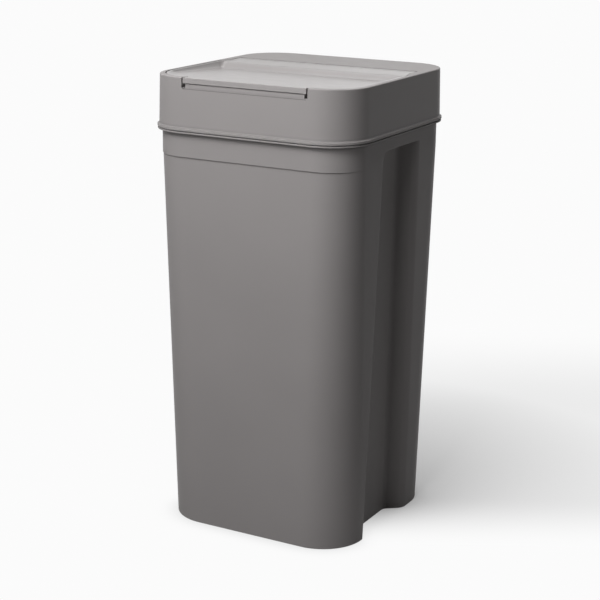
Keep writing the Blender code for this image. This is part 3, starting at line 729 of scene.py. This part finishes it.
def lid_solid():
    """The lid's outside, from the foot of its plug to its top, with nothing hollow yet."""
    plug_z = LID_SEAT_Z - PLUG_DEPTH
    groove_top = LID_SEAT_Z - GROOVE_DROP
    groove_foot = groove_top - GROOVE_HEIGHT
    flange_top = LID_SEAT_Z + FLANGE_HEIGHT
    crest_z = LID_SEAT_Z + FLANGE_LAND
    wide = mouth_outline(PLUG_CLEARANCE)
    narrow = mouth_outline(PLUG_CLEARANCE + GROOVE_DEPTH)
    loops = [
        at_height(mouth_outline(PLUG_CLEARANCE + FUSE), plug_z),
        at_height(wide, plug_z + FUSE),
        at_height(wide, groove_foot),
        at_height(narrow, groove_foot),
        at_height(narrow, groove_top),
        at_height(wide, groove_top),
        at_height(wide, LID_SEAT_Z),
    ]
    loops += rounded_bead(
        LID_SEAT_Z, crest_z, lambda reach: lid_outline(-reach), FLANGE_REACH, FLANGE_EDGE
    )
    crest_reach = FLANGE_REACH - FLANGE_EDGE
    for step in range(1, ROUND_STEPS + 1):
        rise, run = round_share(step)
        reach = crest_reach - (crest_reach - LID_DRAFT) * run
        loops.append(at_height(lid_outline(-reach), crest_z + (flange_top - crest_z) * rise))
    for step in range(ROUND_STEPS + 1):
        run, rise = round_share(step)
        loops.append(at_height(lid_outline(LID_EDGE * run), TOTAL_HEIGHT - LID_EDGE * (1 - rise)))
    return loft("lid_frame_body", loops)


def hollow_lid(lid):
    """Cut the space over the tub, the space under the deck, and the flap's well."""
    plug_inside = mouth_outline(PLUG_CLEARANCE + GROOVE_DEPTH + PLUG_WALL)
    web_z = LID_SEAT_Z + WEB_THICKNESS
    cut(lid, loft("frame_cavity", [
        at_height(plug_inside, LID_SEAT_Z - PLUG_DEPTH - OVERRUN),
        at_height(plug_inside, web_z),
        at_height(lid_outline(WALL), web_z + WALL),
        at_height(lid_outline(WALL), LEDGE_UNDER_Z),
    ]))
    under_deck = rounded_rectangle(
        LID_WIDTH / 2 - WALL,
        -DECK_EDGE_Y - CROSS_WALL,
        LID_DEPTH / 2 - WALL,
        DECK_FRONT_CORNER,
        LID_CORNER - WALL,
    )
    deck_under = TOTAL_HEIGHT - DECK_THICKNESS
    cut(lid, prism("deck_hollow", under_deck, LEDGE_UNDER_Z - OVERRUN, deck_under))
    well = [(x, DECK_EDGE_Y if y > HINGE_Y else y) for x, y in flap_outline(-PLAY)]
    cut(lid, prism("flap_well", well, LEDGE_Z, TOTAL_HEIGHT + OVERRUN))


def cut_lip_seat(lid):
    """Cut the notch for the flap's lip, the finger scoop under it and the scoop's end windows."""
    face = LID_DEPTH / 2
    notch_half = LIP_HALF + LIP_SLIT
    cut(lid, box(
        "lip_notch",
        (-notch_half, -face - OVERRUN, SHELF_Z),
        (notch_half, -FLAP_FRONT, TOTAL_HEIGHT + OVERRUN),
    ))
    slope = (SCOOP_DEPTH - SCOOP_FOOT) / SCOOP_HEIGHT
    cut(lid, across("finger_scoop", LIP_HALF, [
        (-face - OVERRUN, SHELF_Z - SCOOP_HEIGHT),
        (-face + SCOOP_FOOT, SHELF_Z - SCOOP_HEIGHT),
        (-face + SCOOP_DEPTH + slope * OVERRUN, SHELF_Z + OVERRUN),
        (-face - OVERRUN, SHELF_Z + OVERRUN),
    ]))
    cut(lid, both_sides(
        "scoop_windows",
        box,
        (LIP_HALF - WINDOW_WIDTH, -face - OVERRUN, SHELF_Z - WINDOW_HEIGHT),
        (notch_half, -FLAP_FRONT, SHELF_Z + OVERRUN),
    ))


def make_frame():
    lid = lid_solid()
    hollow_lid(lid)
    cut_lip_seat(lid)
    opening = rounded_rectangle(
        LINER_SIDE - OPENING_INSET,
        LINER_FRONT - OPENING_INSET,
        OPENING_BACK,
        LINER_CORNER - OPENING_INSET,
        OPENING_BACK_CORNER,
    )
    cut(lid, prism("mouth_opening", opening, LEDGE_UNDER_Z - OVERRUN, LEDGE_Z + OVERRUN))
    bore_radius = PIN_RADIUS + SEAT_GAP
    bore_end = PIN_OUTER + SEAT_GAP
    cut(lid, both_sides(
        "pin_bores", bar, BOSS_FACE - OVERRUN, bore_end, HINGE_Y, HINGE_Z, bore_radius, PIN_SIDES
    ))
    ear_start = HOOP_BARREL_HALF + SEAT_GAP
    join(lid, both_sides(
        "hoop_ears",
        box,
        (ear_start, HOOP_AXIS_Y - EAR_DEPTH / 2, HOOP_AXIS_Z - EAR_FOOT),
        (ear_start + EAR_THICKNESS, HOOP_AXIS_Y + EAR_DEPTH / 2, LEDGE_UNDER_Z + EAR_ROOT),
    ))
    reach = ear_start + EAR_THICKNESS + OVERRUN
    rod_bore_radius = ROD_RADIUS + SEAT_GAP
    cut(lid, bar("rod_bore", -reach, reach, HOOP_AXIS_Y, HOOP_AXIS_Z, rod_bore_radius, PIN_SIDES))
    dress(settle(lid, LID_PLASTIC), "lid_frame", "lid")


def dish_depth(y):
    """The dish's depth from front to back: a slope down from the lip, then a ramp up to the hinge."""
    if y < DISH_FOOT:
        return DISH_DEPTH * (y + DISH_LIP) / (DISH_FOOT + DISH_LIP)
    if y < DISH_KNEE:
        blend = (1 - math.cos(math.pi * (y - DISH_FOOT) / (DISH_KNEE - DISH_FOOT))) / 2
        return DISH_DEPTH + (DISH_KNEE_DEPTH - DISH_DEPTH) * blend
    return DISH_KNEE_DEPTH * (HINGE_Y - y) / (HINGE_Y - DISH_KNEE)


def half_width_at(outline, y):
    """The outline's reach to the right at a given y."""
    widest = 0.0
    for index, (x, here) in enumerate(outline):
        next_x, beyond = outline[(index + 1) % len(outline)]
        if here != beyond and min(here, beyond) <= y <= max(here, beyond):
            widest = max(widest, x + (next_x - x) * (y - here) / (beyond - here))
    return widest


def dish_body(name, inset, back, shares, drop, far_z):
    """A body from the dish's surface, lowered by a drop, to a flat far side."""
    outline = flap_outline(inset)
    front_rows = sorted({y for x, y in outline if x > 0 and y < FLAP_CORNER - FLAP_FRONT})
    turn_rows = sorted({y for x, y in outline if x > 0 and DISH_KNEE < y < back})
    ramp = DISH_KNEE - DISH_FOOT
    ramp_rows = [DISH_FOOT + ramp * step / RAMP_STEPS for step in range(RAMP_STEPS + 1)]
    near = []
    for y in front_rows + ramp_rows + turn_rows + [back]:
        half = half_width_at(outline, y)
        line = []
        for run, share in shares:
            line.append((half - DISH_WALL_RUN * run, FLAP_TOP_Z - drop - dish_depth(y) * share))
        near.append([(-x, y, z) for x, z in line] + [(x, y, z) for x, z in reversed(line)])
    width = len(near[0])
    verts = [point for row in near for point in row]
    half_count = len(verts)
    verts += [(x, y, far_z) for x, y, z in verts]
    faces = []
    for row in range(len(near) - 1):
        for index in range(width - 1):
            here = row * width + index
            quad = [here, here + 1, here + width + 1, here + width]
            faces.append(quad)
            faces.append([half_count + corner for corner in quad])
    last = (len(near) - 1) * width
    edge = list(range(width))
    edge += [row * width + width - 1 for row in range(1, len(near))]
    edge += [last + index for index in range(width - 2, -1, -1)]
    edge += [row * width for row in range(len(near) - 2, 0, -1)]
    for index, here in enumerate(edge):
        beside = edge[(index + 1) % len(edge)]
        faces.append([here, beside, half_count + beside, half_count + here])
    return object_from(name, verts, faces)


def make_flap():
    loops = [at_height(flap_outline(0), FLAP_SKIRT_Z)]
    for step in range(ROUND_STEPS + 1):
        run, rise = round_share(step)
        loops.append(at_height(flap_outline(FLAP_EDGE * run), FLAP_TOP_Z - FLAP_EDGE * (1 - rise)))
    flap = loft("flap_body", loops)

    face = LID_DEPTH / 2
    root = FLAP_FRONT - FLAP_WALL + FUSE
    edge = []
    for step in range(ROUND_STEPS + 1):
        run, rise = round_share(step)
        edge.append((-face + LIP_EDGE * run, TOTAL_HEIGHT - LIP_EDGE * (1 - rise)))
    join(flap, across("flap_lip", LIP_HALF, [
        (-face, TOTAL_HEIGHT - LIP_HEIGHT),
        (-face + LIP_THICKNESS, TOTAL_HEIGHT - LIP_HEIGHT),
        (-face + LIP_THICKNESS, TOTAL_HEIGHT - LIP_THICKNESS),
        (-root, TOTAL_HEIGHT - LIP_THICKNESS - FLAP_SINK),
        (-root, TOTAL_HEIGHT),
    ] + edge[::-1]))
    join(flap, bar(
        "flap_bullnose", -BARREL_HALF, BARREL_HALF, HINGE_Y, HINGE_Z, BARREL_RADIUS, BARREL_SIDES
    ))

    shares = []
    for step in range(WALL_STEPS + 1):
        run = (step / WALL_STEPS) ** DISH_WALL_SPACING
        shares.append((run, 1 - (1 - run) ** DISH_WALL_STEEPNESS))
    back = HINGE_Y - BARREL_RADIUS
    cut(flap, dish_body("flap_dish", DISH_MARGIN, back, shares, 0.0, TOTAL_HEIGHT + OVERRUN))
    inner = FLAP_FRONT - DISH_MARGIN
    cut(flap, across("lip_fall", LIP_HALF + PLAY / 2, [
        (-DISH_LIP, TOTAL_HEIGHT),
        (FUSE - inner, FLAP_TOP_Z - dish_depth(-inner)),
        (FUSE - inner, TOTAL_HEIGHT + OVERRUN),
        (-DISH_LIP, TOTAL_HEIGHT + OVERRUN),
    ]))
    cut(flap, dish_body(
        "flap_hollow", FLAP_WALL, back - FLAP_WALL, HOLLOW_WALL, FLAP_WALL, FLAP_SKIRT_Z - OVERRUN
    ))
    start = PIN_INNER - PIN_BITE - PLAY
    bore_radius = PIN_RADIUS + SEAT_GAP
    cut(flap, both_sides(
        "flap_bores", bar, start, FLAP_WAIST + OVERRUN, HINGE_Y, HINGE_Z, bore_radius, PIN_SIDES
    ))
    dress(settle(flap, FLAP_PLASTIC), "flap", "flap")


def make_frame_gasket():
    back = PLUG_CLEARANCE + GROOVE_DEPTH - SEAT_GAP
    top = LID_SEAT_Z - GROOVE_DROP - SEAT_GAP
    foot = LID_SEAT_Z - GROOVE_DROP - GROOVE_HEIGHT + SEAT_GAP
    profile = [(back, foot)]
    steps = 2 * GASKET_RIDGES * ROUND_STEPS
    for step in range(steps + 1):
        wave = (1 + math.cos(2 * GASKET_RIDGES * math.pi * step / steps)) / 2
        profile.append((SEAT_GAP + GASKET_RIDGE * wave, foot + (top - foot) * step / steps))
    profile.append((back, top))
    gasket = ring("frame_gasket_ring", [at_height(mouth_outline(inset), z) for inset, z in profile])
    dress(settle(gasket, SILICONE), "frame_gasket", "lid")


def make_liner():
    liner = loft("flap_liner_panel", [
        at_height(liner_outline(LINER_EDGE), LINER_Z),
        at_height(liner_outline(0), LINER_Z + LINER_EDGE),
        at_height(liner_outline(0), LINER_TOP_Z),
    ])
    dress(settle(liner, INNER_PLASTIC, PANEL_SHARP_ANGLE), "flap_liner", "flap")


def make_flap_gasket():
    top = LINER_Z - SEAT_GAP
    crest_z = LEDGE_Z + SEAT_GAP
    middle = SEAL_INSET + SEAL_WIDTH / 2
    profile = [(SEAL_INSET, top), (SEAL_INSET, top - SEAL_BASE)]
    steps = 2 * ROUND_STEPS
    for step in range(steps + 1):
        angle = math.pi * step / steps
        z = crest_z + SEAL_CREST * (1 - math.sin(angle)) * SEAL_FLATNESS
        profile.append((middle - SEAL_CREST * math.cos(angle), z))
    profile += [(SEAL_INSET + SEAL_WIDTH, top - SEAL_BASE), (SEAL_INSET + SEAL_WIDTH, top)]
    gasket = ring("flap_gasket_ring", [at_height(liner_outline(inset), z) for inset, z in profile])
    dress(settle(gasket, SILICONE), "flap_gasket", "flap")


def make_pins():
    for side, node in ((1, "hinge_pin_right"), (-1, "hinge_pin_left")):
        start, end = sorted((side * PIN_INNER, side * PIN_OUTER))
        pin = bar(node + "_steel", start, end, HINGE_Y, HINGE_Z, PIN_RADIUS, PIN_SIDES, PIN_CHAMFER)
        dress(settle(pin, STEEL), node, "lid")
    reach = HOOP_BARREL_HALF + SEAT_GAP + EAR_THICKNESS
    rod = bar(
        "hoop_rod_steel", -reach, reach, HOOP_AXIS_Y, HOOP_AXIS_Z, ROD_RADIUS, PIN_SIDES, PIN_CHAMFER
    )
    dress(settle(rod, STEEL), "hoop_rod", "lid")


def hoop_outline(inset):
    corner = HOOP_CORNER - inset
    front = HOOP_FRONT - inset
    back = HOOP_BACK - inset
    return rounded_rectangle(HOOP_SIDE - inset, front, back, corner, corner)


def make_hoop():
    foot = HOOP_TOP_Z - HOOP_THICKNESS
    low = HOOP_TOP_Z - HOOP_RIM_DEPTH
    inside = HOOP_WIDTH - HOOP_RIM_WIDTH
    profile = [
        (0, HOOP_TOP_Z - HOOP_EDGE),
        (HOOP_EDGE, HOOP_TOP_Z),
        (HOOP_WIDTH - HOOP_EDGE, HOOP_TOP_Z),
        (HOOP_WIDTH, HOOP_TOP_Z - HOOP_EDGE),
        (HOOP_WIDTH, low + HOOP_EDGE),
        (HOOP_WIDTH - HOOP_EDGE, low),
        (inside + HOOP_EDGE, low),
        (inside, low + HOOP_EDGE),
        (inside, foot),
        (HOOP_EDGE, foot),
        (0, foot + HOOP_EDGE),
    ]
    hoop = ring("bag_hoop_body", [at_height(hoop_outline(inset), z) for inset, z in profile])
    join(hoop, box(
        "hoop_neck",
        (-HOOP_BARREL_HALF + EAR_THICKNESS, HOOP_BACK - HOOP_WIDTH / 2, foot + FUSE),
        (HOOP_BARREL_HALF - EAR_THICKNESS, HOOP_AXIS_Y, HOOP_TOP_Z - FUSE),
    ))
    half = HOOP_BARREL_HALF
    join(hoop, bar(
        "hoop_barrel", -half, half, HOOP_AXIS_Y, HOOP_AXIS_Z, HOOP_BARREL_RADIUS, BARREL_SIDES
    ))
    reach = half + OVERRUN
    bore_radius = ROD_RADIUS + SEAT_GAP
    cut(hoop, bar("hoop_bore", -reach, reach, HOOP_AXIS_Y, HOOP_AXIS_Z, bore_radius, PIN_SIDES))
    dress(settle(hoop, INNER_PLASTIC), "bag_hoop", "hoop")


make_tub()
make_frame()
make_frame_gasket()
make_flap()
make_liner()
make_flap_gasket()
make_pins()
make_hoop()


# Floor, light and camera

PAPER = 0.966
SHADED_FLOOR = 0.96
BOUNCE_FLOOR = 0.30
FLOOR_HALF = 30.0

# Directions along the floor: to the camera's right and away from it
ACROSS_VIEW = (0.875, 0.483, 0.0)
INTO_VIEW = (-0.483, 0.875, 0.0)

# How much of the shadow is kept, and the distances over which it comes and goes
SHADOW_NEAR = 0.77
SHADOW_FAR = 0.21
SHADOW_FADE = (0.12, 0.52)
SHADOW_LEFT_END = (-0.02, 0.10)
SHADOW_FRONT_END = (-0.13, 0.02)
SHADOW_FAR_END = (0.75, 0.35)

# Painted contact shade on the floor near the object: its reach, strength and samples
PAINTED_CONTACT_REACH = 0.03
PAINTED_CONTACT_SHADE = 0.70
CONTACT_SAMPLES = 16
ROOM_LIGHT = 0.01


def opaque(level):
    """A grey of this level, with its alpha."""
    return (level, level, level, 1.0)


def along(tree, place, direction):
    """How far the place lies along a direction."""
    node = tree.nodes.new("ShaderNodeVectorMath")
    node.operation = "DOT_PRODUCT"
    tree.links.new(place.outputs["Object"], node.inputs[0])
    node.inputs[1].default_value = direction
    return node.outputs["Value"]


def calculated(tree, operation, first, second):
    node = tree.nodes.new("ShaderNodeMath")
    node.operation = operation
    tree.links.new(first, node.inputs[0])
    tree.links.new(second, node.inputs[1])
    return node.outputs["Value"]


def smoothed(tree, value, span):
    return mapped(tree, value, span, interpolation="SMOOTHSTEP")


def mixed(tree, factor, first, second):
    node = tree.nodes.new("ShaderNodeMixShader")
    tree.links.new(factor, node.inputs["Fac"])
    tree.links.new(first, node.inputs[1])
    tree.links.new(second, node.inputs[2])
    return node.outputs["Shader"]


def shown_rays(tree):
    """1 for camera, glossy and transmission rays, 0 for the rays that carry bounced light."""
    path = tree.nodes.new("ShaderNodeLightPath")
    shown = path.outputs["Is Camera Ray"]
    for kind in ("Is Glossy Ray", "Is Transmission Ray"):
        shown = calculated(tree, "MAXIMUM", shown, path.outputs[kind])
    return shown


def kept_shadow(tree, place):
    """Strength of the object's shadow: behind the object and to its right, fading with distance."""
    across_view = along(tree, place, ACROSS_VIEW)
    into_view = along(tree, place, INTO_VIEW)
    away = tree.nodes.new("ShaderNodeVectorMath")
    away.operation = "LENGTH"
    tree.links.new(place.outputs["Object"], away.inputs[0])
    kept = mapped(tree, away.outputs["Value"], SHADOW_FADE, (SHADOW_NEAR, SHADOW_FAR))
    ends = (
        (across_view, SHADOW_LEFT_END),
        (into_view, SHADOW_FRONT_END),
        (into_view, SHADOW_FAR_END),
    )
    for distance, span in ends:
        kept = calculated(tree, "MULTIPLY", kept, smoothed(tree, distance, span))
    return kept


def floor_material():
    """White floor: even white, with painted contact shade where the object touches, and part of its
    shadow kept.
    """
    material = bpy.data.materials.new("floor_white")
    material.use_nodes = True
    tree = material.node_tree
    tree.nodes.clear()
    output = tree.nodes.new("ShaderNodeOutputMaterial")
    place = tree.nodes.new("ShaderNodeTexCoord")
    # Painted contact shade: ambient occlusion darkens the floor's white emission where the object
    # stands close
    contact = add(tree, "ShaderNodeAmbientOcclusion", Distance=PAINTED_CONTACT_REACH)
    contact.samples = CONTACT_SAMPLES
    openness = smoothed(tree, contact.outputs["AO"], (0.0, 1.0))
    paper = blended(tree, openness, (PAPER * PAINTED_CONTACT_SHADE,) * 3, (PAPER,) * 3)
    white = tree.nodes.new("ShaderNodeEmission")
    tree.links.new(paper, white.inputs["Color"])
    shaded = add(tree, "ShaderNodeBsdfDiffuse", Color=opaque(SHADED_FLOOR))
    bounce = add(tree, "ShaderNodeBsdfDiffuse", Color=opaque(BOUNCE_FLOOR))
    seen = mixed(tree, kept_shadow(tree, place), white.outputs["Emission"], shaded.outputs["BSDF"])
    surface = mixed(tree, shown_rays(tree), bounce.outputs["BSDF"], seen)
    tree.links.new(surface, output.inputs["Surface"])
    return material


def make_floor():
    half = FLOOR_HALF
    mesh = bpy.data.meshes.new("floor")
    corners = [(-half, -half, 0), (half, -half, 0), (half, half, 0), (-half, half, 0)]
    mesh.from_pydata(corners, [], [(0, 1, 2, 3)])
    floor = bpy.data.objects.new("floor", mesh)
    bpy.context.scene.collection.objects.link(floor)
    mesh.materials.append(floor_material())


def make_world():
    """White to the camera and in reflections, and otherwise a faint even light."""
    world = bpy.data.worlds.new("studio")
    bpy.context.scene.world = world
    world.use_nodes = True
    tree = world.node_tree
    tree.nodes.clear()
    output = tree.nodes.new("ShaderNodeOutputWorld")
    room = add(tree, "ShaderNodeBackground", Color=opaque(1.0), Strength=ROOM_LIGHT)
    white = add(tree, "ShaderNodeBackground", Color=opaque(PAPER), Strength=1.0)
    seen = mixed(tree, shown_rays(tree), room.outputs["Background"], white.outputs["Background"])
    tree.links.new(seen, output.inputs["Surface"])


def area(name, place, aim, width, height, power):
    data = bpy.data.lights.new(name, "AREA")
    data.shape = "RECTANGLE"
    data.size = width
    data.size_y = height
    data.energy = power
    lamp = bpy.data.objects.new(name, data)
    bpy.context.scene.collection.objects.link(lamp)
    lamp.location = place
    lamp.rotation_euler = (Vector(aim) - Vector(place)).to_track_quat("-Z", "Y").to_euler()


def make_lights():
    area("key", (0.0, -0.85, 1.15), (0.0, -0.1, 0.40), width=0.6, height=0.5, power=5.1)
    area("key_left", (-0.15, -0.65, 1.15), (0.0, -0.1, 0.40), width=0.6, height=0.5, power=5.1)
    area("low", (-0.10, -1.60, 0.70), (0.0, 0.0, 0.20), width=1.0, height=0.8, power=5.5)
    area("top", (-0.10, 0.35, 1.75), (0.0, 0.05, 0.45), width=1.1, height=1.1, power=8.2)
    area("back", (-0.10, 1.60, 1.10), (0.0, 0.0, 0.45), width=1.4, height=0.8, power=1.2)
    area("right", (1.50, 0.87, 0.35), (0.0, 0.0, 0.22), width=1.0, height=0.9, power=1.72)


def make_camera():
    """The camera that was fitted to the photo, slightly rolled."""
    place = Vector((0.89308, -1.61885, 0.77197))
    aim = Vector((-0.0003, 0.0, 0.2580))
    roll = math.radians(0.60)
    ahead = (aim - place).normalized()
    level = ahead.cross(Vector((0, 0, 1))).normalized()
    up = level.cross(ahead)
    right = level * math.cos(roll) + up * math.sin(roll)
    above = up * math.cos(roll) - level * math.sin(roll)
    data = bpy.data.cameras.new("camera")
    data.sensor_fit = "HORIZONTAL"
    data.sensor_width = 36.0
    data.lens = 96.14
    data.clip_start = 0.05
    data.clip_end = 100.0
    camera = bpy.data.objects.new("camera", data)
    bpy.context.scene.collection.objects.link(camera)
    turn = Matrix((right, above, -ahead)).transposed()
    camera.matrix_world = Matrix.Translation(place) @ turn.to_4x4()
    bpy.context.scene.camera = camera


make_floor()
make_world()
make_lights()
make_camera()
bpy.context.scene.view_settings.view_transform = "Standard"
